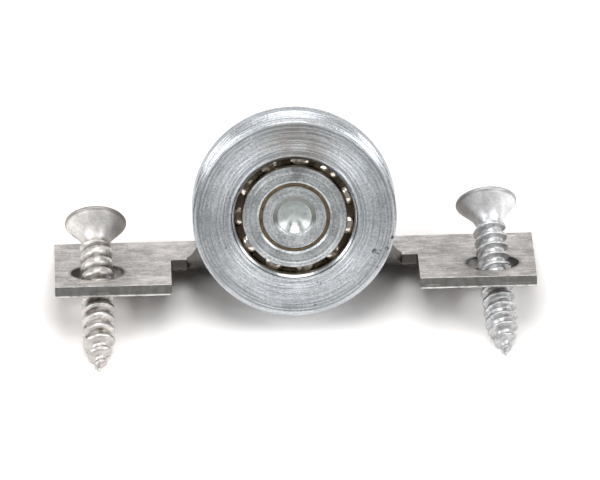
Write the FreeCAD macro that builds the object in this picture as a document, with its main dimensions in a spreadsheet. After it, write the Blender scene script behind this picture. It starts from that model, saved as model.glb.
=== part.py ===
import FreeCAD, Part
import math
import os
import Sketcher

# Ball-bearing roller with a V groove on a bent sheet bracket, fixed by two flat-head screws.
# Millimetres. X runs along the bracket, Y along the axle from the wheel to the web, Z up from
# the bracket's underside, which seats on the thing that the roller carries.
# The origin is midway between the two screw holes, on the underside.

driving_sizes = {
    # bracket
    "bracket_depth": 16.5,
    "tab_length": 12.7,
    "tab_to_wheel": 2.4,
    "sheet_thickness": 1.3,
    "edge_roll": 0.3,
    "hole_diameter": 5.9,
    "hole_setback": 5.2,
    "hole_to_tab_end": 4.7,
    "slot_width": 1.75,
    "slot_depth": 9.3,
    "slot_corner": 0.35,
    "bend_behind_slot": 1.2,
    "bend_radius": 3.0,
    "web_taper": 1.75,
    "web_taper_length": 3.6,
    "axle_height": 8.4,
    # wheel
    "wheel_diameter": 22.2,
    "wheel_width": 5.5,
    "wheel_to_web": 0.5,
    "rim_chamfer": 0.5,
    "rim_chamfer_width": 0.29,
    "groove_width": 2.7,
    "groove_depth": 1.25,
    "groove_root": 0.2,
    "groove_lip_width": 0.8,
    "groove_lip_depth": 0.15,
    "bore_chamfer": 0.38,
    # bearing
    "ball_diameter": 3.175,
    "ball_count": 11,
    "ball_gap": 0.262,
    "ball_clearance": 0.06,
    "first_ball_angle": 17.9,
    "race_opening": 0.9,
    "cone_lip": 1.81,
    "cone_chamfer": 0.55,
    "cone_chamfer_width": 0.1,
    "race_setback": 0.2,
    "boss_step": 1.15,
    "recess_depth": 1.2,
    "recess_chamfer": 0.25,
    "recess_chamfer_width": 0.14,
    # rivet
    "rivet_head_gap": 0.34,
    "rivet_head_chamfer": 0.06,
    "shank_step": 1.0,
    "shank_clearance": 0.02,
    "dimple_diameter": 4.7,
    "dimple_lip": 0.5,
    "dimple_lip_depth": 0.16,
    "dimple_depth": 2.05,
    "peen_diameter": 7.6,
    "peen_height": 1.1,
    # screws
    "screw_length": 19.5,
    "screw_diameter": 2.8,
    "screw_head_diameter": 6.7,
    "screw_head_depth": 3.0,
    "screw_head_rim": 0.4,
    "screw_point_length": 4.2,
    "screw_point_diameter": 0.3,
    "screw_hole_clearance": 0.03,
    "drive_span": 3.4,
    "drive_arm": 0.9,
    "drive_depth": 1.5,
    "drive_draft": 6.0,
    "left_slack": 0.0,
    "left_twist": 0.0,
    "left_shift": -0.1,
    "left_standout": 7.35,
    "right_slack": 3.25,
    "right_twist": 6.2,
    "right_shift": 0.25,
    "right_standout": 8.4,
}

doc = FreeCAD.newDocument("roller")
sheet = doc.addObject("Spreadsheet::Sheet", "Sizes")
for row, (alias, number) in enumerate(driving_sizes.items(), start=1):
    sheet.set(f"A{row}", alias)
    sheet.set(f"B{row}", str(number))
    sheet.setAlias(f"B{row}", alias)
doc.recompute()


class Size:
    # a number together with the sheet expression that it comes from
    def __init__(self, text, number):
        self.text = text
        self.number = number

    def __add__(self, other):
        other = as_size(other)
        return Size(f"({self.text} + {other.text})", self.number + other.number)

    def __sub__(self, other):
        other = as_size(other)
        return Size(f"({self.text} - {other.text})", self.number - other.number)

    def __mul__(self, other):
        other = as_size(other)
        return Size(f"({self.text} * {other.text})", self.number * other.number)

    def __truediv__(self, other):
        other = as_size(other)
        return Size(f"({self.text} / {other.text})", self.number / other.number)

    def __neg__(self):
        return Size(f"(-{self.text})", -self.number)


def as_size(value):
    return value if isinstance(value, Size) else Size(f"{value}", value)


def size(alias):
    return Size(f"Sizes.{alias}", float(sheet.get(alias)))


def sine(angle):
    return Size(f"sin({angle.text})", math.sin(math.radians(angle.number)))


def cosine(angle):
    return Size(f"cos({angle.text})", math.cos(math.radians(angle.number)))


def angle_with_cosine(value):
    return Size(f"(acos({value.text}) / 1 deg)", math.degrees(math.acos(value.number)))


def angle_with_tangent(value):
    return Size(f"(atan({value.text}) / 1 deg)", math.degrees(math.atan(value.number)))


def square_root(value):
    return Size(f"sqrt({value.text})", math.sqrt(value.number))


class Corner:
    # a corner of an outline; hold names the coordinates that are set, the others follow from an arc
    def __init__(self, x, y, hold="xy", arc=None):
        self.x = as_size(x)
        self.y = as_size(y)
        self.hold = hold
        self.arc = arc

    def point(self):
        return FreeCAD.Vector(self.x.number, self.y.number, 0)


class Arc:
    # the way from a corner to the next one when it is round
    def __init__(self, x, y, hold="xy", radius=None, clockwise=False):
        self.centre = Corner(x, y, hold)
        self.radius = radius
        self.clockwise = clockwise


# the sketcher's codes for its two axes and for the points of a line or an arc
horizontal_axis, vertical_axis = range(-1, -3, -1)
start_point, end_point, centre_point = range(1, 4)
origin_point = (horizontal_axis, start_point)
half_turn = math.degrees(math.pi)
quarter_turn = half_turn / 2


def bind(sketch, constraint, value):
    index = sketch.addConstraint(constraint)
    name = f"size_{index}"
    sketch.renameConstraint(index, name)
    sketch.setExpression(f"Constraints.{name}", value.text)


def pin(sketch, geometry, end, corner):
    for letter, value, axis in (
        ("x", corner.x, vertical_axis),
        ("y", corner.y, horizontal_axis),
    ):
        if letter not in corner.hold:
            continue
        if value.number == 0:
            sketch.addConstraint(Sketcher.Constraint("PointOnObject", geometry, end, axis))
            continue
        points = origin_point + (geometry, end)
        if value.number < 0:
            points = (geometry, end) + origin_point
            value = -value
        kind = f"Distance{letter.upper()}"
        bind(sketch, Sketcher.Constraint(kind, *points, value.number), value)


def angle_about(centre, point):
    return math.atan2(point.y - centre.y, point.x - centre.x)


def draw(sketch, corners):
    first = sketch.GeometryCount
    ends = []
    following = corners[1:] + corners[:1]
    for corner, after in zip(corners, following):
        start, stop = corner.point(), after.point()
        if corner.arc is None:
            sketch.addGeometry(Part.LineSegment(start, stop))
            ends.append((start_point, end_point))
            continue
        centre = corner.arc.centre.point()
        circle = Part.Circle(centre, FreeCAD.Vector(0, 0, 1), (start - centre).Length)
        low, high = angle_about(centre, start), angle_about(centre, stop)
        if corner.arc.clockwise:
            low, high = high, low
        if high < low:
            high += 2 * math.pi
        sketch.addGeometry(Part.ArcOfCircle(circle, low, high))
        forwards = (start_point, end_point)
        ends.append(forwards[::-1] if corner.arc.clockwise else forwards)
    for index, corner in enumerate(corners):
        after = (index + 1) % len(corners)
        meeting = (first + index, ends[index][1], first + after, ends[after][0])
        sketch.addConstraint(Sketcher.Constraint("Coincident", *meeting))
    for index, corner in enumerate(corners):
        geometry = first + index
        pin(sketch, geometry, ends[index][0], corner)
        if corner.arc is None:
            continue
        pin(sketch, geometry, centre_point, corner.arc.centre)
        radius = corner.arc.radius
        if radius is not None:
            bind(sketch, Sketcher.Constraint("Radius", geometry, radius.number), radius)


def draw_circle(sketch, x, y, diameter):
    centre = Corner(x, y)
    circle = Part.Circle(centre.point(), FreeCAD.Vector(0, 0, 1), diameter.number / 2)
    index = sketch.addGeometry(circle)
    pin(sketch, index, centre_point, centre)
    bind(sketch, Sketcher.Constraint("Diameter", index, diameter.number), diameter)


def new_body(label):
    body = doc.addObject("PartDesign::Body", label)
    body.Label = label
    return body


def new_sketch(body, role, name):
    sketch = body.newObject("Sketcher::SketchObject", name)
    plane = next(feature for feature in body.Origin.OriginFeatures if feature.Role == role)
    sketch.AttachmentSupport = [(plane, "")]
    sketch.MapMode = "FlatFace"
    return sketch


def place(body, x, y, z, yaw=0, roll=0):
    x, y, z, yaw, roll = (as_size(value).text for value in (x, y, z, yaw, roll))
    body.setExpression(
        "Placement",
        f"placement(vector({x}; {y}; {z}); rotation({yaw}; 0; {roll}))",
    )


def revolve(body, sketch, axis):
    turned = body.newObject("PartDesign::Revolution", f"{body.Label}_turned")
    turned.Profile = sketch
    turned.ReferenceAxis = (sketch, [axis])
    return turned


# sizes that several pieces share
thickness = size("sheet_thickness")
rim = size("wheel_diameter") / 2
half_gap = rim + size("tab_to_wheel")
half_length = half_gap + size("tab_length")
half_web = half_gap - size("slot_width")
front_edge = -size("hole_setback")
rear_edge = size("bracket_depth") - size("hole_setback")
slot_end = size("slot_depth") - size("hole_setback")
bend_line = slot_end + size("bend_behind_slot")
hole_x = half_length - size("hole_to_tab_end")
axle_height = size("axle_height")
web_back = bend_line - size("bend_radius")
web_front = web_back - thickness
half_width = size("wheel_width") / 2
wheel_centre = web_front - size("wheel_to_web") - half_width

# the balls fill the circle, so their size and number set the race's diameters and all inside it
ball_radius = size("ball_diameter") / 2
race_radius = ball_radius + size("ball_clearance")
half_ball_angle = as_size(half_turn) / size("ball_count")
pitch_radius = (ball_radius + size("ball_gap") / 2) / sine(half_ball_angle)
half_opening = size("race_opening") / 2
bore = pitch_radius + half_opening
cone = pitch_radius - half_opening
half_race = square_root(race_radius * race_radius - half_opening * half_opening)
recess = cone - size("cone_lip")
race_front = size("race_setback") - half_width
recess_floor = size("recess_depth") - half_width
rivet_head = recess - size("rivet_head_gap")
shank_radius = rivet_head - size("shank_step")
shank_hole = shank_radius + size("shank_clearance")


def make_bracket():
    body = new_body("bracket")
    flat = new_sketch(body, "XY_Plane", "flat_outline")
    corner_x = half_gap - size("slot_corner")
    corner_y = slot_end - size("slot_corner")
    draw(
        flat,
        [
            Corner(-half_length, front_edge),
            Corner(-half_gap, front_edge),
            Corner(-half_gap, corner_y, arc=Arc(-corner_x, corner_y, clockwise=True)),
            Corner(-corner_x, slot_end, hold="x"),
            Corner(-half_web, slot_end),
            Corner(-half_web, bend_line),
            Corner(half_web, bend_line),
            Corner(half_web, slot_end),
            Corner(corner_x, slot_end, arc=Arc(corner_x, corner_y, clockwise=True)),
            Corner(half_gap, corner_y, hold="y"),
            Corner(half_gap, front_edge),
            Corner(half_length, front_edge),
            Corner(half_length, rear_edge),
            Corner(-half_length, rear_edge),
        ],
    )
    for side in (-1, 1):
        draw_circle(flat, hole_x * side, 0, size("hole_diameter"))
    plate = body.newObject("PartDesign::Pad", "plate")
    plate.Profile = flat
    plate.setExpression("Length", thickness.text)
    doc.recompute()

    # the punched sheet's lower edges are drawn round, apart from the holes and where the bend starts
    rolled = [
        f"Edge{number}"
        for number, edge in enumerate(plate.Shape.Edges, start=1)
        if is_rolled_edge(edge)
    ]
    rolled_edges = body.newObject("PartDesign::Fillet", "rolled_edges")
    rolled_edges.Base = (plate, rolled)
    rolled_edges.setExpression("Radius", size("edge_roll").text)
    doc.recompute()

    # the web turns up from the strip between the two relief slots
    bend = new_sketch(body, "YZ_Plane", "bend_profile")
    outer_bend = size("bend_radius") + thickness
    web_radius = half_web - size("web_taper")
    blank_top = axle_height + web_radius + thickness
    draw(
        bend,
        [
            Corner(bend_line, 0, arc=Arc(bend_line, outer_bend, clockwise=True)),
            Corner(web_front, outer_bend, hold="y"),
            Corner(web_front, blank_top, hold="y"),
            Corner(web_back, blank_top),
            Corner(web_back, outer_bend, arc=Arc(bend_line, outer_bend)),
            Corner(bend_line, thickness, hold="x"),
        ],
    )
    bend.addConstraint(Sketcher.Constraint("Vertical", 1))
    web = body.newObject("PartDesign::Pad", "web")
    web.Profile = bend
    web.SideType = "Symmetric"
    web.setExpression("Length", (half_web * 2).text)
    doc.recompute()

    # the strip narrows from the slots' ends on, sheared square to the sheet halfway round the bend
    sides = new_sketch(body, "XZ_Plane", "web_sides")
    sides.AttachmentOffset = FreeCAD.Placement(
        FreeCAD.Vector(), FreeCAD.Rotation(FreeCAD.Vector(1, 0, 0), quarter_turn / 2)
    )
    behind = size("bend_behind_slot")
    inner_bend = size("bend_radius")
    top_at_slot = outer_bend - square_root(inner_bend * inner_bend - behind * behind)
    slant_start = (top_at_slot - slot_end) * math.sqrt(0.5)
    slant_end = slant_start + size("web_taper_length")
    for side in (-1, 1):
        draw(
            sides,
            [
                Corner(half_web * side, slant_start),
                Corner(web_radius * side, slant_end),
                Corner(web_radius * side, blank_top),
                Corner(half_web * side, blank_top),
            ],
        )
    cut_through(body, sides, "web_tapers")
    crown = new_sketch(body, "XZ_Plane", "web_crown")
    beyond = web_radius + thickness
    above = blank_top + thickness
    draw(
        crown,
        [
            Corner(-beyond, axle_height),
            Corner(-web_radius, axle_height, arc=Arc(0, axle_height, clockwise=True)),
            Corner(web_radius, axle_height, hold="y"),
            Corner(beyond, axle_height),
            Corner(beyond, above),
            Corner(-beyond, above),
        ],
    )
    cut_through(body, crown, "web_top")
    rivet_hole = new_sketch(body, "XZ_Plane", "rivet_hole_circle")
    draw_circle(rivet_hole, 0, axle_height, shank_hole * 2)
    cut_through(body, rivet_hole, "rivet_hole")
    return body


def is_rolled_edge(edge):
    ends = [vertex.Point for vertex in edge.Vertexes]
    small = 1e-6
    lies_on_underside = all(abs(point.z) < small for point in ends)
    closes_on_itself = len(ends) == 1
    within_web = all(abs(point.x) < half_web.number + small for point in ends)
    at_bend = within_web and all(point.y < bend_line.number + small for point in ends)
    return lies_on_underside and not closes_on_itself and not at_bend


def cut_through(body, sketch, name):
    before = body.Shape.Volume
    cut = body.newObject("PartDesign::Pocket", name)
    cut.Profile = sketch
    cut.SideType = "Symmetric"
    cut.setExpression("Length", ((size("bracket_depth") + axle_height + rim) * 2).text)
    doc.recompute()
    if body.Shape.Volume >= before:
        raise RuntimeError(f"{name} removes nothing")


def make_wheel():
    body = new_body("wheel")
    profile = new_sketch(body, "YZ_Plane", "wheel_profile")
    rim_shoulder = rim - size("rim_chamfer")
    half_rim = half_width - size("rim_chamfer_width")
    bore_chamfer = size("bore_chamfer")
    half_groove = size("groove_width") / 2
    half_root = size("groove_root") / 2
    half_mouth = half_groove + size("groove_lip_width")
    lip = rim - size("groove_lip_depth")
    root = rim - size("groove_depth")
    draw(
        profile,
        [
            Corner(-half_width, bore + bore_chamfer),
            Corner(-half_width, rim_shoulder),
            Corner(-half_rim, rim),
            Corner(-half_mouth, rim),
            Corner(-half_groove, lip),
            Corner(-half_root, root),
            Corner(half_root, root),
            Corner(half_groove, lip),
            Corner(half_mouth, rim),
            Corner(half_rim, rim),
            Corner(half_width, rim_shoulder),
            Corner(half_width, bore + bore_chamfer),
            Corner(half_width - bore_chamfer, bore),
            Corner(half_race, bore, hold="y", arc=Arc(0, pitch_radius, radius=race_radius)),
            Corner(-half_race, bore, hold="y"),
            Corner(bore_chamfer - half_width, bore),
        ],
    )
    revolve(body, profile, "H_Axis")
    place(body, 0, wheel_centre, axle_height)
    return body


def make_front_race():
    body = new_body("inner_race_front")
    profile = new_sketch(body, "YZ_Plane", "front_race_profile")
    cone_shoulder = cone - size("cone_chamfer")
    recess_chamfer = size("recess_chamfer")
    draw(
        profile,
        [
            Corner(race_front, recess + recess_chamfer),
            Corner(race_front, cone_shoulder),
            Corner(race_front + size("cone_chamfer_width"), cone),
            Corner(-half_race, cone, hold="y", arc=Arc(0, pitch_radius, radius=race_radius)),
            Corner(0, pitch_radius - race_radius, hold="x"),
            Corner(0, shank_hole),
            Corner(recess_floor, shank_hole),
            Corner(recess_floor, recess),
            Corner(race_front + size("recess_chamfer_width"), recess),
        ],
    )
    revolve(body, profile, "H_Axis")
    place(body, 0, wheel_centre, axle_height)
    return body


def make_rear_race():
    body = new_body("inner_race_rear")
    profile = new_sketch(body, "YZ_Plane", "rear_race_profile")
    cone_shoulder = cone - size("cone_chamfer")
    boss = cone - size("boss_step")
    boss_end = half_width + size("wheel_to_web")
    draw(
        profile,
        [
            Corner(0, shank_hole),
            Corner(0, pitch_radius - race_radius, hold="x",
                   arc=Arc(0, pitch_radius, radius=race_radius)),
            Corner(half_race, cone, hold="y"),
            Corner(half_width - size("cone_chamfer_width"), cone),
            Corner(half_width, cone_shoulder),
            Corner(half_width, boss),
            Corner(boss_end, boss),
            Corner(boss_end, shank_hole),
        ],
    )
    revolve(body, profile, "H_Axis")
    place(body, 0, wheel_centre, axle_height)
    return body


def make_rivet():
    body = new_body("axle_rivet")
    profile = new_sketch(body, "YZ_Plane", "rivet_profile")
    head_chamfer = size("rivet_head_chamfer")
    dimple = size("dimple_diameter") / 2
    web_far_side = half_width + size("wheel_to_web") + thickness
    peen = size("peen_diameter") / 2
    peen_height = size("peen_height")
    dome_radius = (peen * peen + peen_height * peen_height) / (peen_height * 2)
    peen_end = web_far_side + peen_height
    draw(
        profile,
        [
            Corner(size("dimple_depth") + race_front, 0),
            Corner(size("dimple_lip_depth") + race_front, dimple - size("dimple_lip")),
            Corner(race_front, dimple),
            Corner(race_front, rivet_head - head_chamfer),
            Corner(head_chamfer + race_front, rivet_head),
            Corner(recess_floor, rivet_head),
            Corner(recess_floor, shank_radius),
            Corner(web_far_side, shank_radius),
            Corner(web_far_side, peen, arc=Arc(peen_end - dome_radius, 0, hold="y", clockwise=True)),
            Corner(peen_end, 0),
        ],
    )
    revolve(body, profile, "H_Axis")
    place(body, 0, wheel_centre, axle_height)
    return body


def make_ball(number):
    label = f"ball_{number:02d}"
    ball = doc.addObject("Part::Sphere", label)
    ball.Label = label
    ball.setExpression("Radius", ball_radius.text)
    angle = size("first_ball_angle") + half_ball_angle * (2 * (number - 1))
    place(ball, pitch_radius * cosine(angle), wheel_centre, axle_height + pitch_radius * sine(angle))
    return ball


def make_screw(side, direction):
    body = new_body(f"{side}_screw")
    profile = new_sketch(body, "XZ_Plane", f"{side}_screw_profile")
    head = size("screw_head_diameter") / 2
    shank = size("screw_diameter") / 2
    point = size("screw_point_diameter") / 2
    length = size("screw_length")
    draw(
        profile,
        [
            Corner(0, 0),
            Corner(head, 0),
            Corner(head, -size("screw_head_rim")),
            Corner(shank, -size("screw_head_depth")),
            Corner(shank, size("screw_point_length") - length),
            Corner(point, point - length),
            Corner(0, -length),
        ],
    )
    revolve(body, profile, "V_Axis")
    doc.recompute()
    before = body.Shape.Volume

    # cross recess for the driver, on the head's flat top
    cross = new_sketch(body, "XY_Plane", f"{side}_drive_cross")
    reach = size("drive_span") / 2
    arm = size("drive_arm") / 2
    draw(
        cross,
        [
            Corner(-reach, -arm),
            Corner(-arm, -arm),
            Corner(-arm, -reach),
            Corner(arm, -reach),
            Corner(arm, -arm),
            Corner(reach, -arm),
            Corner(reach, arm),
            Corner(arm, arm),
            Corner(arm, reach),
            Corner(-arm, reach),
            Corner(-arm, arm),
            Corner(-reach, arm),
        ],
    )
    drive = body.newObject("PartDesign::Pocket", f"{side}_drive")
    drive.Profile = cross
    drive.setExpression("Length", size("drive_depth").text)
    drive.setExpression("TaperAngle", (-size("drive_draft")).text)
    doc.recompute()
    if body.Shape.Volume >= before:
        raise RuntimeError(f"{side}_drive removes nothing")

    # the shank leans back against the upper rear edge of its hole, its head standing out above;
    # it jams at the lean where the lower front edge stops it too, and may stop short of that
    hole = size("hole_diameter")
    room = shank + size("screw_hole_clearance")
    hole_diagonal = square_root(hole * hole + thickness * thickness)
    jammed = angle_with_cosine(room * 2 / hole_diagonal) - angle_with_tangent(thickness / hole)
    lean = jammed - size(f"{side}_slack")
    twist = size(f"{side}_twist")
    standout = size(f"{side}_standout")
    half_thickness = thickness / 2
    crossing = hole / 2 - (room + half_thickness * sine(lean)) / cosine(lean)
    back = crossing + standout * sine(lean)
    shift = size(f"{side}_shift")
    place(
        body,
        hole_x * direction + shift * cosine(twist) - back * sine(twist),
        shift * sine(twist) + back * cosine(twist),
        half_thickness + standout * cosine(lean),
        yaw=twist,
        roll=-lean,
    )
    return body


pieces = [
    make_bracket(),
    make_wheel(),
    make_front_race(),
    make_rear_race(),
    make_rivet(),
    make_screw("left", -1),
    make_screw("right", 1),
]
for number in range(1, int(size("ball_count").number) + 1):
    pieces.append(make_ball(number))
doc.recompute()

for item in doc.Objects:
    if "Invalid" in item.State or "Error" in item.State:
        raise RuntimeError(f"{item.Label} failed: {item.State}")
for piece in pieces:
    if piece.Shape.isNull() or not piece.Shape.isValid():
        raise RuntimeError(f"{piece.Label} has no valid shape")

os.makedirs("parts", exist_ok=True)
for piece in pieces:
    piece.Shape.exportStep(f"parts/{piece.Label}.step")
    box = piece.Shape.BoundBox
    spans = f"x {box.XMin:.2f}..{box.XMax:.2f} y {box.YMin:.2f}..{box.YMax:.2f}"
    print(f"{piece.Label}: {piece.Shape.Volume:.2f} mm3, {spans} z {box.ZMin:.2f}..{box.ZMax:.2f}")
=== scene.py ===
import bpy
import math
from mathutils import Matrix, Vector


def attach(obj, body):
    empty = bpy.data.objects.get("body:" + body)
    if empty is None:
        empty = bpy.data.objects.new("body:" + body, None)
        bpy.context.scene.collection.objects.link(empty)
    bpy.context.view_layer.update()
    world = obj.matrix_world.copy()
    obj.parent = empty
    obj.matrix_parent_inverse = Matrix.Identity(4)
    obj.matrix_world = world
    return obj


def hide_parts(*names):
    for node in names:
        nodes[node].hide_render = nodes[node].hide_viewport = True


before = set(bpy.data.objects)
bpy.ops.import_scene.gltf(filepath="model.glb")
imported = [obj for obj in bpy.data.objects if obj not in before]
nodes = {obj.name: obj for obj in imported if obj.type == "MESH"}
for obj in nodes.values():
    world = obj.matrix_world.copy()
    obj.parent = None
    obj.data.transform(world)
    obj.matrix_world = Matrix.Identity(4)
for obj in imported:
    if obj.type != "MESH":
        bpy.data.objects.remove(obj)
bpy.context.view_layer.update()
mm = 0.001
axle = (0, -2.25, 8.4)  # middle of the bearing, in mm
print("frame loaded,", len(nodes), "nodes")


def metres(point):
    return tuple(part * mm for part in point)


def addObject(name, data):
    made = bpy.data.objects.new(name, data)
    bpy.context.scene.collection.objects.link(made)
    return made


def addMesh(name, points, faces):
    # an object from points in mm
    mesh = bpy.data.meshes.new(name)
    mesh.from_pydata([metres(point) for point in points], [], faces)
    return addObject(name, mesh)


# shader sockets as Python values

class Wire:
    # one output socket; maths on it adds Math nodes
    def __init__(self, finish, socket):
        self.finish = finish
        self.socket = socket

    def maths(self, operation, first, second=0.0):
        return self.finish.add("ShaderNodeMath", {"operation": operation}, {0: first, 1: second})

    def __add__(self, other): return self.maths("ADD", self, other)
    def __radd__(self, other): return self.maths("ADD", other, self)
    def __sub__(self, other): return self.maths("SUBTRACT", self, other)
    def __rsub__(self, other): return self.maths("SUBTRACT", other, self)
    def __mul__(self, other): return self.maths("MULTIPLY", self, other)
    def __rmul__(self, other): return self.maths("MULTIPLY", other, self)
    def __truediv__(self, other): return self.maths("DIVIDE", self, other)
    def __abs__(self): return self.maths("ABSOLUTE", self)
    def larger(self, other): return self.maths("MAXIMUM", self, other)
    def smaller(self, other): return self.maths("MINIMUM", self, other)
    def root(self): return self.maths("SQRT", self)

    def step(self, low, high):
        # 0 below low, 1 above high, soft between; low may be the greater one
        return self.finish.add("ShaderNodeMapRange", {"interpolation_type": "SMOOTHSTEP"},
                               {"Value": self, "From Min": low, "From Max": high})

    def past(self, low, high):
        # the same for a length, with both ends in mm
        return self.step(low * mm, high * mm)


class Finish:
    # one material, or the world, and its nodes
    def __init__(self, owner):
        self.owner = owner
        self.owner.use_nodes = True
        self.tree = self.owner.node_tree
        self.tree.nodes.clear()

    def add(self, kind, settings=None, sockets=None, out=0):
        node = self.tree.nodes.new(kind)
        for name, value in (settings or {}).items():
            setattr(node, name, value)
        for name, value in (sockets or {}).items():
            if isinstance(value, Wire):
                self.tree.links.new(value.socket, node.inputs[name])
            else:
                node.inputs[name].default_value = value
        return Wire(self, node.outputs[out]) if node.outputs else None

    def place(self):
        return self.add("ShaderNodeTexCoord", out="Object")

    def apart(self, vector):
        parts = self.add("ShaderNodeSeparateXYZ", sockets={0: vector})
        return [Wire(self, socket) for socket in parts.socket.node.outputs]

    def together(self, x, y, z):
        return self.add("ShaderNodeCombineXYZ", sockets={0: x, 1: y, 2: z})

    def vectors(self, operation, first, second, out="Vector"):
        return self.add("ShaderNodeVectorMath", {"operation": operation}, {0: first, 1: second}, out)

    def noise(self, vector, scale, detail, roughness=0.5, distortion=0.0):
        return self.add("ShaderNodeTexNoise", {"noise_dimensions": "3D"},
                        {"Vector": vector, "Scale": scale, "Detail": detail, "Roughness": roughness,
                         "Distortion": distortion})

    def lineNoise(self, along, scale, detail, roughness):
        return self.add("ShaderNodeTexNoise", {"noise_dimensions": "1D"},
                        {"W": along, "Scale": scale, "Detail": detail, "Roughness": roughness})

    def specks(self, vector, scale, size, share):
        # round specks in a share of the cells of a random grid
        cells = {"Vector": vector, "Scale": scale}
        distance = self.add("ShaderNodeTexVoronoi", sockets=cells)
        pick = self.apart(self.add("ShaderNodeTexVoronoi", sockets=cells, out="Color"))[0]
        return distance.step(size, size * 0.45) * pick.step(share, share * 0.9)

    def blend(self, factor, first, second, way="MIX"):
        # sockets 6 and 7 are the Mix node's two colours
        return self.add("ShaderNodeMix", {"data_type": "RGBA", "blend_type": way},
                        {0: factor, 6: first, 7: second}, out=2)

    def near(self, point, reach, soft):
        # 1 at a point of the piece, 0 beyond its reach, in mm
        distance = self.vectors("DISTANCE", self.place(), metres(point), "Value")
        return distance.past(reach, reach * soft)

    def bump(self, height, distance, normal=None):
        sockets = {"Height": height, "Distance": distance, "Strength": 1.0}
        if normal is not None:
            sockets["Normal"] = normal
        return self.add("ShaderNodeBump", sockets=sockets)

    def roundEdge(self, radius):
        return self.add("ShaderNodeBevel", {"samples": 6}, {"Radius": radius * mm})

    def edge(self, radius):
        # 1 along the piece's sharp edges
        plain = self.add("ShaderNodeNewGeometry", out="Normal")
        return self.vectors("DOT_PRODUCT", self.roundEdge(radius), plain, "Value").step(0.985, 0.82)

    def seated(self, seat):
        # places as a leaning piece has them before it is seated
        return self.add("ShaderNodeMapping", {"vector_type": "TEXTURE"}, {
            "Vector": self.place(), "Location": tuple(seat.to_translation()),
            "Rotation": tuple(seat.to_euler())})

    def seenRays(self):
        # rays from the camera, straight or by way of metal, and the count of dull bounces before
        path = self.add("ShaderNodeLightPath")
        rays = {socket.name: Wire(self, socket) for socket in path.socket.node.outputs}
        seen = rays["Is Camera Ray"].larger(rays["Is Glossy Ray"]).larger(rays["Is Transmission Ray"])
        return seen, rays["Diffuse Depth"]

    def show(self, shader):
        self.add("ShaderNodeOutputMaterial", sockets={"Surface": shader})
        return self.owner

    def close(self, base, metallic, rough, normal):
        return self.show(self.add("ShaderNodeBsdfPrincipled", sockets={
            "Base Color": base, "Metallic": metallic, "Roughness": rough, "Normal": normal}))


def newFinish(name):
    return Finish(bpy.data.materials.new(name))


def colour(red, green, blue):
    # a colour as it is read off a screen, in 0 to 255
    return tuple(((part / 255 + 0.055) / 1.055) ** 2.4 for part in (red, green, blue)) + (1,)


def mixTone(noises, weights):
    # noises about their middle, each with its weight
    tone = 0.5
    for noise, weight in zip(noises, weights):
        tone = tone + (noise - 0.5) * weight
    return tone


# camera, fitted to the wheel, the tabs and both holes

cameraView = {
    "wheelFace": (0, -5.0, 8.4), "turn": 0.868, "height": 16.437, "roll": -1.218, "right": 0.576, "up": -2.390,
    "distance": 1570, "lens": 868.5, "sensor": 36, "clip": (0.01, 20),
}


def makeCamera(view):
    turn, height = math.radians(view["turn"]), math.radians(view["height"])
    back = Vector((-math.sin(turn) * math.cos(height), -math.cos(turn) * math.cos(height), math.sin(height)))
    turned = back.to_track_quat("Z", "Y").to_matrix() @ Matrix.Rotation(math.radians(view["roll"]), 3, "Z")
    aim = Vector(view["wheelFace"]) + turned.col[0] * view["right"] + turned.col[1] * view["up"]
    data = bpy.data.cameras.new("photoCamera")
    data.lens, data.sensor_width = view["lens"], view["sensor"]
    data.clip_start, data.clip_end = view["clip"]
    camera = addObject("photoCamera", data)
    camera.matrix_world = Matrix.Translation((aim + back * view["distance"]) * mm) @ turned.to_4x4()
    bpy.context.scene.camera = camera


makeCamera(cameraView)
print("camera placed")


# the roller lies on its two screw points and the lower rear edge of the bracket

floorSize = {
    "leftPoint": (-21.6, -9.21, -7.29), "rightPoint": (22.59, -7.71, -7.07), "rearEdge": (0, 11.12, 0.0),
    "reach": 400, "fade": (66, 105), "grain": 900,
    "tone": (0.975, 0.957, 0.945, 1), "fleck": 0.99, "seen": 1.52,
}
studio = {
    "overhead": {"reach": 520, "side": 0, "lean": -5, "size": (350, 520), "level": 2.4},
    "left": {"reach": 560, "side": -54, "lean": -17, "size": (640, 210), "level": 3.6},
    "right": {"reach": 560, "side": 54, "lean": -17, "size": (640, 210), "level": 3.7},
    "screen": {"reach": 720, "spread": 115, "low": -4, "high": 86, "columns": 24, "rows": 10,
               "grey": (0.35, 0.35, 0.35, 1)},
    "ambient": (1.0, 0.955, 0.915, 1), "ambientLevel": 0.03,
}


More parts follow.
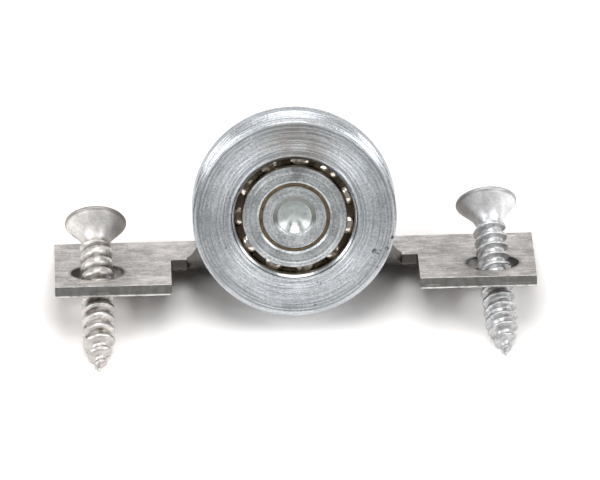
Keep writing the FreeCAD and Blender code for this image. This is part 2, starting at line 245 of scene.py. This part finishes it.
def makeFloor(sizes):
    left, right, rear = (Vector(sizes[name]) for name in ("leftPoint", "rightPoint", "rearEdge"))
    across = (right - left).normalized()
    up = across.cross(rear - left).normalized()
    ahead = up.cross(across)
    middle = (left + right + rear) / 3
    reach = sizes["reach"]
    corners = [middle + across * (x * reach) + ahead * (y * reach)
               for x, y in ((-1, -1), (1, -1), (1, 1), (-1, 1))]
    floor = addMesh("floor", corners, [(0, 1, 2, 3)])
    finish = newFinish("palePaper")
    grain = finish.noise(finish.place(), sizes["grain"], 3).step(0.3, 0.7)
    paper = finish.blend(grain, sizes["tone"], tuple(part * sizes["fleck"] for part in sizes["tone"]))
    # the paper itself is shown whiter than it lights the roller
    bright = finish.blend(1.0, paper, (sizes["seen"],) * 3 + (1,), "MULTIPLY")
    shown = finish.blend(finish.seenRays()[0], paper, bright)
    solid = finish.add("ShaderNodeBsdfPrincipled", sockets={
        "Base Color": shown, "Roughness": 1.0, "Specular IOR Level": 0.0})
    clear = finish.add("ShaderNodeBsdfTransparent")
    # it fades into the white background, and is clear from below
    fromMiddle = finish.vectors("DISTANCE", finish.place(), metres(middle), "Value")
    below = finish.add("ShaderNodeNewGeometry", out="Backfacing")
    fade = fromMiddle.past(*sizes["fade"]).larger(below)
    mixed = finish.add("ShaderNodeMixShader", sockets={0: fade, 1: solid, 2: clear})
    floor.data.materials.append(finish.show(mixed))
    return middle, across, up


def makeLamp(name, lamp, middle, across, up):
    ahead = up.cross(across)
    side, lean = math.radians(lamp["side"]), math.radians(lamp["lean"])
    toLamp = (up * math.cos(side) + across * math.sin(side)) * math.cos(lean) + ahead * math.sin(lean)
    data = bpy.data.lights.new(name, "AREA")
    data.shape = "RECTANGLE"
    data.size, data.size_y = metres(lamp["size"])
    data.energy = lamp["level"] * math.pi * data.size * data.size_y
    light = addObject(name, data)
    turned = toLamp.to_track_quat("Z", "Y").to_matrix().to_4x4()
    light.matrix_world = Matrix.Translation((middle + toLamp * lamp["reach"]) * mm) @ turned


def makeScreen(screen, middle, across, up):
    # a grey screen round the front of the roller, seen only in the metal
    ahead = up.cross(across)
    columns, rows = screen["columns"], screen["rows"]
    points, faces = [], []
    for row in range(rows + 1):
        rise = math.radians(screen["low"] + (screen["high"] - screen["low"]) * row / rows)
        for column in range(columns + 1):
            turn = math.radians(screen["spread"] * (2 * column / columns - 1))
            level = across * math.sin(turn) - ahead * math.cos(turn)
            points.append(middle + (level * math.cos(rise) + up * math.sin(rise)) * screen["reach"])
    wide = columns + 1
    for row in range(rows):
        for corner in range(row * wide, row * wide + columns):
            faces.append((corner, corner + 1, corner + wide + 1, corner + wide))
    board = addMesh("greyScreen", points, faces)
    finish = newFinish("greyCloth")
    glow = finish.add("ShaderNodeEmission", sockets={"Color": screen["grey"]})
    board.data.materials.append(finish.show(glow))
    board.visible_camera = board.visible_diffuse = board.visible_shadow = False


def makeWorld(look):
    world = bpy.data.worlds.new("whiteStudio")
    finish = Finish(world)
    seen, dullBounces = finish.seenRays()
    whiteShare = seen * (1 - dullBounces.smaller(1.0))
    plain = finish.add("ShaderNodeBackground", sockets={"Color": look["ambient"], "Strength": look["ambientLevel"]})
    white = finish.add("ShaderNodeBackground", sockets={"Color": (1, 1, 1, 1), "Strength": 1.0})
    mixed = finish.add("ShaderNodeMixShader", sockets={0: whiteShare, 1: plain, 2: white})
    finish.add("ShaderNodeOutputWorld", sockets={"Surface": mixed})
    world.cycles.sampling_method = "NONE"
    bpy.context.scene.world = world


floorPlane = makeFloor(floorSize)
for lampName in ("overhead", "left", "right"):
    makeLamp(lampName, studio[lampName], *floorPlane)
makeScreen(studio["screen"], *floorPlane)
makeWorld(studio)
bpy.context.scene.view_settings.view_transform = "Standard"
print("floor, lamps and world ready")


# marks of the lathe tool on the turned pieces

latheMarks = {
    "sway": 2.5, "swayRings": 700, "swayWidth": 6e-5, "slope": 0.83, "fineLines": 4.7,
    "cutSpacing": 0.75, "cutWidth": 0.10, "cutLength": 2.4, "cutShare": (0.40, 0.62),
}


def aroundAxle(finish):
    # distance from the axle, place along it, and a unit vector round it
    x, y, z = finish.apart(finish.vectors("SUBTRACT", finish.place(), metres(axle)))
    radius = (x * x + z * z).root()
    return radius, y, x / radius, z / radius


def turningMarks(finish, marks, coarse, radius, along, acrossX, acrossZ):
    # broad rings, fine lines and sharp cuts, which come and go round the piece
    sway, length = marks["sway"], marks["cutLength"]
    wander = finish.noise(finish.together(acrossX * sway, acrossZ * sway, radius * marks["swayRings"]), 1.0, 2)
    line = radius + along * marks["slope"] + wander * marks["swayWidth"]
    rings = finish.lineNoise(line, coarse, 2, 0.55)
    lines = finish.lineNoise(line, coarse * marks["fineLines"], 3, 0.65)
    part = finish.noise(finish.together(acrossX * length, acrossZ * length, line * coarse * 0.5), 1.0, 2)
    cuts = abs(finish.lineNoise(line, coarse * marks["cutSpacing"], 1, 0.5) - 0.5).step(marks["cutWidth"], 0.0)
    return rings, lines, cuts * part.step(*marks["cutShare"])


# turned wheel; each dent is a point and its reach

wheelLook = {
    "light": colour(214, 218, 222), "dark": colour(158, 163, 168), "stain": colour(132, 127, 120),
    "pit": colour(48, 45, 42), "grease": colour(116, 98, 70), "rough": 0.22,
    "coarse": 3200, "cloud": 330, "grain": 6500, "weights": (1.3, 2.0, 1.0, 2.2), "cutTone": 0.35,
    "ring": 1.3e-4, "line": 3.6e-5, "cut": 4.2e-5, "grainDepth": 7e-6, "pitDepth": 2.5e-5,
    "gap": (6.9, 6.55), "gapEnd": (2.42, 2.2), "face": (-2.6, -2.72), "smoother": (9.4, 9.8),
    "darkerTop": ((0.4, -5.0, 16.2), 5.5, 0.25), "wearAndSheenEdge": 0.1, "roundEdge": 0.06,
    "dents": [
        ((8.95, -5.0, 4.15), 0.2), ((8.15, -5.0, 5.0), 0.2), ((10.0, -5.0, 3.6), 0.16),
        ((-1.18, -2.1, 19.42), 0.36), ((8.55, -5.0, 4.45), 0.42), ((9.95, -5.0, 4.65), 0.38),
        ((10.55, -4.9, 5.9), 0.32), ((9.7, -5.0, 3.75), 0.28), ((8.85, -5.0, 2.6), 0.2),
        ((9.2, -5.0, 4.5), 0.16), ((9.35, -5.0, 5.1), 0.15), ((10.1, -5.0, 5.3), 0.14),
        ((8.2, -5.0, 3.7), 0.13), ((-7.55, -5.0, 5.2), 0.16), ((2.7, -5.0, 0.95), 0.18),
        ((2.3, -5.0, 1.1), 0.13), ((0.9, -4.9, 1.2), 0.15), ((1.75, -4.9, 1.35), 0.14),
        ((6.3, -5.0, 14.8), 0.11), ((-8.9, -5.0, 11.6), 0.10),
    ],
}


def makeWheelFinish(look):
    finish = newFinish("turnedSteel")
    radius, along, acrossX, acrossZ = aroundAxle(finish)
    rings, lines, cuts = turningMarks(finish, latheMarks, look["coarse"], radius, along, acrossX, acrossZ)
    cloud = finish.noise(finish.place(), look["cloud"], 3, 0.6)
    grain = finish.noise(finish.place(), look["grain"], 2, 0.7)
    tone = mixTone((rings, lines, cloud, grain), look["weights"]) - cuts * look["cutTone"]
    base = finish.blend(tone.step(0.0, 1.0), look["dark"], look["light"])
    stain = finish.noise(finish.place(), 900, 4, 0.65).step(0.58, 0.80)
    base = finish.blend(stain * 0.4, base, look["stain"])
    pits = finish.specks(finish.place(), 1000, 0.2, 0.07)
    for point, reach in look["dents"]:
        pits = pits.larger(finish.near(point, reach, 0.3))
    ragged = pits * finish.noise(finish.place(), 3400, 3).step(0.36, 0.54)
    base = finish.blend(ragged * 0.85, base, look["pit"])
    # darker towards the top of the face, in broken patches
    darkerTop = finish.near(*look["darkerTop"]) * (0.4 + cloud.step(0.35, 0.6) * 0.6)
    base = finish.blend(darkerTop * 0.72, base, look["stain"])
    inGap = radius.past(*look["gap"]) * abs(along).past(*look["gapEnd"])
    base = finish.blend(inGap * 0.9, base, look["grease"])
    # wear and a painted highlight along the sharp edges
    base = finish.blend(finish.edge(look["wearAndSheenEdge"]) * 0.4, base, look["light"])
    onFace = along.past(*look["face"])
    rough = look["rough"] + (1 - lines) * 0.08 + cloud * 0.06 + grain * 0.06
    rough = rough + ragged * 0.3 + inGap * 0.12 - (1 - onFace) * 0.07
    # the marks are shallow off the face and near its rim
    calm = (0.3 + onFace * 0.7) * (1 - onFace * radius.past(*look["smoother"]) * 0.55)
    height = (rings * look["ring"] + lines * look["line"] - cuts * look["cut"]) * calm
    height = height + grain * look["grainDepth"] - ragged * look["pitDepth"]
    normal = finish.bump(height, 1.0, finish.roundEdge(look["roundEdge"]))
    return finish.close(base, 1 - inGap * 0.9, rough, normal)


# races, rivet and balls

raceLook = {
    "light": colour(214, 218, 220), "dark": colour(155, 159, 162), "grease": colour(108, 89, 65),
    "paintedTopShade": colour(104, 103, 98), "rough": 0.26,
    "coarse": 2600, "cloud": 420, "grain": 4200, "weights": (1.0, 1.3, 1.8, 2.6),
    "ring": 4e-5, "line": 1.2e-5, "cut": 1.4e-5, "grainDepth": 9e-6,
    "gap": (5.58, 5.64), "gapEnd": (2.47, 2.40), "recess": (3.92, 3.84),
    "topShadeAt": ((0.2, -4.7, 13.4), 1.9, 0.2), "roundEdge": 0.04,
}
rivetLook = {
    "light": colour(226, 230, 232), "dark": colour(168, 172, 175), "film": colour(222, 227, 225),
    "upperLipShade": colour(112, 114, 107), "grease": colour(96, 78, 52), "rough": 0.28,
    "coarse": 2600, "cloud": 500, "grain": 4200, "weights": (0.9, 1.1, 1.9, 2.8),
    "ring": 4e-5, "line": 1.2e-5, "cut": 1.2e-5, "grainDepth": 9e-6,
    "head": (0.0, -0.1), "dimple": (1.88, 1.82), "dull": (1.2, 0.5), "lip": (2.38, 2.30), "lipUpper": (-0.55, -0.05),
    "rim": (3.38, 3.48), "rimEnd": (0.5, 0.3), "roundEdge": 0.03,
    "scuffs": [((-1.2, -4.5, 7.6), 1.1, 0.4), ((1.2, -4.5, 7.6), 1.1, 0.4)],
}
ballLook = {
    "steel": colour(226, 216, 206), "film": colour(100, 84, 60), "rough": 0.05, "smear": (0.46, 0.58),
}


def makeRaceFinish(look):
    finish = newFinish("raceSteel")
    radius, along, acrossX, acrossZ = aroundAxle(finish)
    rings, lines, cuts = turningMarks(finish, latheMarks, look["coarse"], radius, along, acrossX, acrossZ)
    cloud = finish.noise(finish.place(), look["cloud"], 3, 0.6)
    grain = finish.noise(finish.place(), look["grain"], 3, 0.75)
    tone = mixTone((rings, lines, cloud, grain), look["weights"])
    base = finish.blend(tone.step(0.0, 1.0), look["dark"], look["light"])
    dirt = finish.noise(finish.place(), 1500, 3, 0.6)
    inGap = radius.past(*look["gap"]) * abs(along).past(*look["gapEnd"])
    greasy = inGap.larger(radius.past(*look["recess"])) * (0.72 + dirt * 0.3)
    base = finish.blend(greasy, base, look["grease"])
    # painted shade on the top of the race's rounded edge, broken by noise
    paintedTopShade = finish.near(*look["topShadeAt"]) * dirt.step(0.35, 0.6)
    base = finish.blend(paintedTopShade * 0.55, base, look["paintedTopShade"])
    rough = look["rough"] + (1 - lines) * 0.08 + cloud * 0.06 + inGap * 0.1
    height = rings * look["ring"] + lines * look["line"] - cuts * look["cut"] + grain * look["grainDepth"]
    normal = finish.bump(height, 1.0, finish.roundEdge(look["roundEdge"]))
    return finish.close(base, 1 - greasy * 0.9, rough, normal)


def makeRivetFinish(look):
    finish = newFinish("rivetSteel")
    radius, along, acrossX, acrossZ = aroundAxle(finish)
    rings, lines, cuts = turningMarks(finish, latheMarks, look["coarse"], radius, along, acrossX, acrossZ)
    cloud = finish.noise(finish.place(), look["cloud"], 3, 0.6)
    grain = finish.noise(finish.place(), look["grain"], 3, 0.75)
    tone = mixTone((rings, lines, cloud, grain), look["weights"])
    base = finish.blend(tone.step(0.0, 1.0), look["dark"], look["light"])
    onHead = along.past(*look["head"])
    dimple = radius.past(*look["dimple"]) * onHead
    base = finish.blend(dimple * 0.8, base, look["film"])
    # painted shade on the upper part of the lip
    upperLipShade = radius.past(*look["lip"]) * onHead * (1 - dimple) * acrossZ.step(*look["lipUpper"])
    base = finish.blend(upperLipShade * 0.85, base, look["upperLipShade"])
    dirt = finish.noise(finish.place(), 1600, 3, 0.6)
    greasy = radius.past(*look["rim"]) * along.past(*look["rimEnd"]) * (0.5 + dirt * 0.5)
    base = finish.blend(greasy, base, look["grease"])
    leftScuff, rightScuff = (finish.near(*scuff) for scuff in look["scuffs"])
    scuffed = leftScuff.larger(rightScuff)
    rough = look["rough"] + (1 - lines) * 0.08 + cloud * 0.05 + scuffed * dimple * 0.16
    rough = rough + dimple * (rings * 0.24 - 0.20 + radius.past(*look["dull"]) * 0.25)
    height = (rings * look["ring"] + lines * look["line"]) * (1 + dimple * 2.2)
    height = height - cuts * look["cut"] + grain * look["grainDepth"]
    normal = finish.bump(height, 1.0, finish.roundEdge(look["roundEdge"]))
    return finish.close(base, 1 - greasy * 0.9, rough, normal)


def makeBallFinish(look):
    finish = newFinish("ballSteel")
    film = finish.noise(finish.place(), 620, 3, 0.6, 0.8).step(*look["smear"])
    fine = finish.noise(finish.place(), 2600, 3, 0.6)
    base = finish.blend(film * 0.9, look["steel"], look["film"])
    rough = look["rough"] + film * (0.08 + fine * 0.16)
    normal = finish.bump(fine * film, 2.5e-6)
    return finish.close(base, 1 - film * 0.6, rough, normal)


# old grease: a ring round the rivet head, and lumps that travel with the balls

greaseRing = {
    "inside": 3.515, "outside": 3.825, "front": -4.67, "low": -4.55, "steps": 96,
    "swells": [(0.03, 3, 0.6), (0.02, 7, 0.0)],  # height, waves round the ring, shift
    "light": colour(140, 121, 88), "dark": colour(84, 71, 52),
}
ballGrease = {
    "pitch": 6.0998, "ball": 1.61, "firstBall": 17.9, "count": 11, "inside": 5.67, "outside": 6.53,
    "front": -1.2, "dip": 0.3, "thick": 0.3, "columns": 6, "steps": 10, "sharpAngle": 50,
    "light": colour(116, 98, 70), "dark": colour(84, 70, 49),
}


def makeGreaseFinish(name, look):
    finish = newFinish(name)
    lumps = finish.noise(finish.place(), 1500, 3, 0.6)
    base = finish.blend(lumps.step(0.3, 0.7), look["dark"], look["light"])
    return finish.close(base, 0.0, 0.4 + lumps * 0.2, finish.bump(lumps, 6e-5))


def makeGreaseRing(ring):
    points, faces = [], []
    steps = ring["steps"]
    middle = (ring["inside"] + ring["outside"]) / 2
    for step in range(steps):
        angle = 2 * math.pi * step / steps
        swell = sum(height * math.sin(waves * angle + shift) for height, waves, shift in ring["swells"])
        across = ((ring["inside"], ring["low"]), (middle, ring["front"] + swell), (ring["outside"], ring["low"]))
        for radius, along in across:
            points.append((radius * math.cos(angle), along, axle[2] + radius * math.sin(angle)))
    for step in range(steps):
        here, there = 3 * step, 3 * ((step + 1) % steps)
        faces += [(here, here + 1, there + 1, there), (here + 1, here + 2, there + 2, there + 1)]
    grease = addMesh("greaseRing", points, faces)
    grease.data.shade_smooth()
    grease.data.materials.append(makeGreaseFinish("oldGrease", ring))
    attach(grease, "bracket")
    print("greaseRing", len(faces), "faces")


def makeBallGrease(lumps):
    points, faces = [], []
    columns, steps, pitch = lumps["columns"], lumps["steps"], lumps["pitch"]
    wide = steps + 1
    layer = (columns + 1) * wide
    # the edge of one layer, in order round it
    rim = list(range(steps)) + [column * wide + steps for column in range(columns)]
    rim += [columns * wide + step for step in range(steps, 0, -1)]
    rim += [column * wide for column in range(columns, 0, -1)]
    for ball in range(lumps["count"]):
        start = len(points)
        middle = math.radians(lumps["firstBall"] + 360 / lumps["count"] * (ball + 0.5))
        for deeper in (0, lumps["thick"]):
            for column in range(columns + 1):
                radius = lumps["inside"] + (lumps["outside"] - lumps["inside"]) * column / columns
                for step in range(steps + 1):
                    # from one ball to the next, hollow in the middle and clear of both
                    share = 2 * step / steps - 1
                    along = lumps["front"] + lumps["dip"] * (1 - share * share) + deeper
                    across = lumps["ball"] ** 2 - along ** 2
                    taken = math.acos((radius ** 2 + pitch ** 2 - across) / (2 * radius * pitch))
                    angle = middle + (math.pi / lumps["count"] - taken) * share
                    points.append((radius * math.cos(angle), axle[1] + along, axle[2] + radius * math.sin(angle)))
        for column in range(columns):
            for step in range(steps):
                corner = start + column * wide + step
                quad = (corner, corner + wide, corner + wide + 1, corner + 1)
                faces += [quad, tuple(part + layer for part in reversed(quad))]
        for here, there in zip(rim, rim[1:] + rim[:1]):
            faces.append((start + here, start + there, start + there + layer, start + here + layer))
    grease = addMesh("ballGrease", points, faces)
    grease.data.shade_smooth()
    grease.data.set_sharp_from_angle(angle=math.radians(lumps["sharpAngle"]))
    grease.data.materials.append(makeGreaseFinish("bearingGrease", lumps))
    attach(grease, "ball_set")
    print("ballGrease", len(faces), "faces")


makeGreaseRing(greaseRing)
makeBallGrease(ballGrease)


# bracket of plated sheet

bracketLook = {
    "light": colour(217, 212, 209), "dark": colour(130, 126, 123), "white": colour(236, 235, 234),
    "cut": colour(152, 151, 149), "cutDark": colour(124, 123, 120), "burr": colour(96, 91, 87),
    "below": colour(74, 69, 64), "bendShade": colour(84, 80, 75), "rough": 0.36,
    "cloud": 300, "grain": 3600, "weights": (1.0, 0.9, 1.2, 1.0),
    "thickness": 1.3, "holeX": 21.5, "hole": 2.95, "burrReach": (0.42, 0.06),
    "cutTop": (1.6, 1.3), "tearLine": 0.36, "bend": (13.62, 13.52), "bendTop": (4.6, 3.0),
    "wearAndSheenEdge": 0.12, "roundEdge": 0.11, "relief": 8.0e-6,
}


def makeBracketFinish(look):
    finish = newFinish("zincSheet")
    x, y, z = finish.apart(finish.place())
    upward = finish.apart(finish.add("ShaderNodeTexCoord", out="Normal"))[2]
    # the sheet was rolled along the bracket, so its broken streaks run that way
    streaks = finish.noise(finish.together(x * 210, y * 1300, z * 1300), 1.0, 4, 0.62, 0.6)
    fineStreaks = finish.noise(finish.together(x * 900, y * 4600, z * 4600), 1.0, 3, 0.6, 0.4)
    cloud = finish.noise(finish.place(), look["cloud"], 4, 0.6)
    grain = finish.noise(finish.place(), look["grain"], 3, 0.7)
    tone = mixTone((streaks, fineStreaks, cloud, grain), look["weights"])
    base = finish.blend(tone.step(0.05, 0.95), look["dark"], look["light"])
    # bright rubs, a little aslant
    slanted = finish.together(x * 230 + y * 60, y * 1500 - x * 120, z * 1500)
    rubbed = finish.noise(slanted, 1.0, 3, 0.6, 0.5).step(0.60, 0.72) * cloud.step(0.42, 0.60)
    base = finish.blend(rubbed * 0.65, base, look["white"])
    aside = abs(x) - look["holeX"] * mm
    burr = (aside * aside + y * y).root().past(*(look["hole"] + reach for reach in look["burrReach"]))
    base = finish.blend(burr * 0.6, base, look["burr"])
    # painted shade on the underside of the sheet
    base = finish.blend(upward.step(-0.8, -0.95) * 0.8, base, look["below"])
    # sheared edges: plain, with a broken raised line low on them
    cutEdge = abs(upward).step(0.6, 0.35) * z.past(*look["cutTop"])
    tear = finish.noise(finish.together(x * 1500, y * 1500, z * 900), 1.0, 3, 0.6)
    base = finish.blend(cutEdge, base, finish.blend(tear.step(0.25, 0.75), look["cutDark"], look["cut"]))
    level = z / (look["thickness"] * mm)
    line = abs(level - look["tearLine"] - (tear - 0.5) * 0.05).step(0.05, 0.015)
    line = line * finish.noise(finish.place(), 620, 2).step(0.50, 0.56)
    # painted shade in the slots and at the foot of the web
    atBend = abs(x).past(*look["bend"]) * z.past(*look["bendTop"]) * upward.step(0.9, 0.7)
    base = finish.blend(atBend * 0.85, base, look["bendShade"])
    # a painted highlight along the rolled lower edges, kept off the bend
    rolled = upward.step(-0.12, -0.4) * upward.step(-0.95, -0.75) * tear.step(0.3, 0.55)
    base = finish.blend(rolled * (0.8 - atBend * 0.7), base, look["white"])
    # wear and a painted highlight along the sharp edges, less at the bend
    wearAndSheen = finish.edge(look["wearAndSheenEdge"]) * finish.noise(finish.place(), 1200, 3, 0.6).step(0.25, 0.5)
    base = finish.blend(wearAndSheen * (0.8 - atBend * 0.6), base, look["white"])
    rough = look["rough"] + (streaks - 0.5) * 0.12 + grain * 0.10 - cutEdge * 0.08 - rubbed * 0.06 - wearAndSheen * 0.08
    height = streaks + fineStreaks * 0.8 + grain * 1.2 - rubbed * 0.6 + tear * cutEdge * 0.4 + line * cutEdge * 3
    normal = finish.bump(height, look["relief"], finish.roundEdge(look["roundEdge"]))
    return finish.close(base, 1.0, rough, normal)


# wood screws with their threads

screwSize = {
    "length": 19.46, "root": 1.30, "threadTop": -2.75, "threadRise": 0.5, "settle": 0.3,
    "pointLength": 3.8, "pointRadius": 0.05, "pointCurve": 0.9, "step": 0.05, "around": 72, "sharpAngle": 38,
    "head": [(3.14, 0.0), (3.27, -0.05), (3.34, -0.15), (3.35, -0.28), (3.30, -0.42), (2.98, -0.80),
             (2.55, -1.25), (2.15, -1.7), (1.84, -2.1), (1.62, -2.5), (1.47, -2.85), (1.36, -3.15)],
    "crossTop": 0.3, "crossSpan": 3.6, "crossArm": 1.0,
    "crossDepth": 1.5, "crossSpanBelow": 2.3, "crossArmBelow": 0.5,
    # where wear, dirt and painted shade lie, from the face of the head or from the middle
    "onHead": (-3.1, -2.5), "wornThread": (-9.0, -7.6), "paleBelow": (-7.8, -8.8), "lip": (3.12, 3.30),
    "overPoint": (-16.2, -15.2), "darkPoint": (-14.6, -16.6), "valley": (1.66, 1.42), "valleyFloor": (1.46, 1.34),
    "shadeSide": (0.9, 2.6), "shadeOnHead": (-2.9, -2.2),
}
screwPlaces = {
    "left": {
        "top": (-21.6, 5.5739, 5.4410), "lean": 49.319, "twist": 0.0, "pitch": 1.40, "thread": 167.0, "cross": 22,
        "crest": 1.80, "crestWidth": 0.22, "baseWidth": 1.16, "swollen": 1, "pale": 1,
        "headLight": colour(246, 244, 242), "headDark": colour(212, 209, 206),
        "light": colour(226, 223, 220), "dark": colour(166, 161, 156), "rough": 0.36,
        "dirt": colour(84, 64, 44), "dirtFrom": 0.44, "valley": 0.55,
        "headDarkTone": colour(128, 122, 116), "shadeSideSign": 1,
    },
    "right": {
        "top": (21.0721, 6.2540, 6.4778), "lean": 46.069, "twist": 6.2, "pitch": 1.25, "thread": 281.0, "cross": 61,
        "crest": 1.82, "crestWidth": 0.14, "baseWidth": 0.92, "swollen": 0, "pale": 0,
        "headLight": colour(250, 250, 251), "headDark": colour(218, 218, 220),
        "light": colour(226, 227, 228), "dark": colour(162, 162, 163), "rough": 0.33,
        "dirt": colour(112, 98, 82), "dirtFrom": 0.56, "valley": 0.0,
        "headDarkTone": colour(148, 147, 146), "shadeSideSign": -1,
    },
}


def clamped(value):
    return min(1.0, max(0.0, value))


def threadRadius(sizes, place, height, angle):
    taper = clamped((height + sizes["length"]) / sizes["pointLength"])
    root = sizes["pointRadius"] + (sizes["root"] - sizes["pointRadius"]) * taper ** sizes["pointCurve"]
    tall = (place["crest"] - sizes["root"]) * min(1.0, taper * 2.0) ** sizes["pointCurve"]
    tall *= clamped((sizes["threadTop"] - height) / sizes["threadRise"])
    turns = height / place["pitch"] - (angle + math.radians(place["thread"])) / (2 * math.pi)
    off = abs(turns - math.floor(turns) - 0.5) * place["pitch"]
    half, flat = place["baseWidth"] / 2, place["crestWidth"] / 2
    sharp = (1 - math.cos(math.pi * clamped((half - off) / (half - flat)))) / 2
    # rolled-over crests above the plate on a worn screw
    outward = min(1.0, off * 2 / (place["pitch"] * 0.99))
    wornFrom, wornFully = sizes["wornThread"]
    swollen = place["swollen"] * clamped((height - wornFrom) / (wornFully - wornFrom))
    return root + tall * (sharp + (math.sqrt(1 - outward * outward) - sharp) * swollen)


def crossOutline(span, arm, height, turn):
    reach, half = span / 2, arm / 2
    points = []
    for side in range(4):
        spin = Matrix.Rotation(math.radians(90 * side + turn), 2)
        for point in ((reach, -half), (reach, half), (half, half)):
            points.append((*(spin @ Vector(point)), height))
    return points


def cutCross(screw, sizes, turn):
    # the driver's cross is cut out of the head
    above = crossOutline(sizes["crossSpan"], sizes["crossArm"], sizes["crossTop"], turn)
    below = crossOutline(sizes["crossSpanBelow"], sizes["crossArmBelow"], -sizes["crossDepth"], turn)
    total = len(above)
    ends = [tuple(reversed(range(total))), tuple(range(total, 2 * total))]
    sides = [(i, (i + 1) % total, total + (i + 1) % total, total + i) for i in range(total)]
    cutter = addMesh("crossCutter", below + above, ends + sides)
    cut = screw.modifiers.new("cross", "BOOLEAN")
    cut.operation, cut.solver, cut.object = "DIFFERENCE", "EXACT", cutter
    bpy.context.view_layer.update()
    made = bpy.data.meshes.new_from_object(screw.evaluated_get(bpy.context.evaluated_depsgraph_get()))
    screw.modifiers.clear()
    screw.data = made
    bpy.data.objects.remove(cutter)


def makeScrewMesh(name, sizes, place):
    around, head = sizes["around"], sizes["head"]
    angles = [2 * math.pi * spoke / around for spoke in range(around)]
    rings = [[radius] * around for radius, height in head]
    heights = [height for radius, height in head]
    neck, low = head[-1]
    count = int((sizes["length"] + low - sizes["step"]) / sizes["step"])
    for index in range(1, count + 1):
        height = low - index * sizes["step"]
        settle = min(1.0, index * sizes["step"] / sizes["settle"])
        rings.append([threadRadius(sizes, place, height, angle) * settle + neck * (1 - settle) for angle in angles])
        heights.append(height)
    points, faces = [(0, 0, 0)], []
    for ring, height in zip(rings, heights):
        points += [(radius * math.cos(angle), radius * math.sin(angle), height) for radius, angle in zip(ring, angles)]
    points.append((0, 0, -sizes["length"]))
    last = len(points) - 1
    bottom = 1 + (len(rings) - 1) * around
    for spoke in range(around):
        following = (spoke + 1) % around
        faces.append((0, 1 + spoke, 1 + following))
        for upper in range(1, bottom, around):
            lower = upper + around
            faces.append((upper + following, upper + spoke, lower + spoke, lower + following))
        faces.append((bottom + following, bottom + spoke, last))
    screw = addMesh(name, points, faces)
    cutCross(screw, sizes, place["cross"])
    screw.data.shade_smooth()
    screw.data.set_sharp_from_angle(angle=math.radians(sizes["sharpAngle"]))
    return screw


def makeScrewFinish(name, sizes, place, seat):
    finish = newFinish(name)
    spot = finish.seated(seat)
    x, y, z = finish.apart(spot)
    radius = (x * x + y * y).root()
    mottle = finish.noise(spot, 900, 4, 0.65)
    grain = finish.noise(spot, 2800, 3, 0.75)
    tone = mixTone((mottle, grain), (1.6, 1.8)).step(0.0, 1.0)
    onHead = z.past(*sizes["onHead"])
    below = z.past(*sizes["paleBelow"]) * place["pale"]
    base = finish.blend(onHead.larger(below * 0.5), finish.blend(tone, place["dark"], place["light"]),
                        finish.blend(tone, place["headDark"], place["headLight"]))
    # the rim of the head is darker
    lip = radius.past(*sizes["lip"]) * onHead
    base = finish.blend(lip * 0.75, base, place["headDarkTone"])
    base = finish.blend(z.past(*sizes["darkPoint"]) * 0.45, base, place["dark"])
    # dirt patches between the threads, and painted shade along the valley floors of the left screw
    onShank = z.past(*sizes["overPoint"]) * (1 - onHead)
    patches = finish.noise(spot, 700, 3, 0.6).step(place["dirtFrom"], place["dirtFrom"] + 0.2)
    dirtAndValleyShade = radius.past(*sizes["valley"]) * onShank * patches
    dirtAndValleyShade = dirtAndValleyShade.larger(radius.past(*sizes["valleyFloor"]) * onShank * place["valley"])
    base = finish.blend(dirtAndValleyShade * 0.8, base, place["dirt"])
    # painted shade on the side of the head towards the wheel
    dull = (x * place["shadeSideSign"]).past(*sizes["shadeSide"]) * z.past(*sizes["shadeOnHead"])
    base = finish.blend(dull * 0.5, base, place["headDarkTone"])
    rough = place["rough"] + mottle * 0.10 + dirtAndValleyShade * 0.2 + onHead * 0.06
    normal = finish.bump(mottle * 0.7 + grain, 1.4e-5)
    return finish.close(base, 1.0, rough, normal)


for side, place in screwPlaces.items():
    screw = makeScrewMesh(side + "WoodScrew", screwSize, place)
    twist, lean = math.radians(place["twist"]), math.radians(-place["lean"])
    turned = Matrix.Rotation(twist, 4, "Z") @ Matrix.Rotation(lean, 4, "X")
    seat = Matrix.Translation(Vector(place["top"]) * mm) @ turned
    screw.data.transform(seat)
    screw.data.materials.clear()
    screw.data.materials.append(makeScrewFinish(side + "ScrewZinc", screwSize, place, seat))
    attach(screw, "bracket")
    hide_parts(side + "_screw")
    print(screw.name, len(screw.data.polygons), "faces")


# finishes on the turned and bent pieces

finishes = {
    "bracket": makeBracketFinish(bracketLook),
    "wheel": makeWheelFinish(wheelLook),
    "inner_race": makeRaceFinish(raceLook),
    "axle_rivet": makeRivetFinish(rivetLook),
    "ball": makeBallFinish(ballLook),
}
for name, node in nodes.items():
    for start, finish in finishes.items():
        if name.startswith(start):
            for slot in node.material_slots:
                slot.material = finish
print("finishes set")
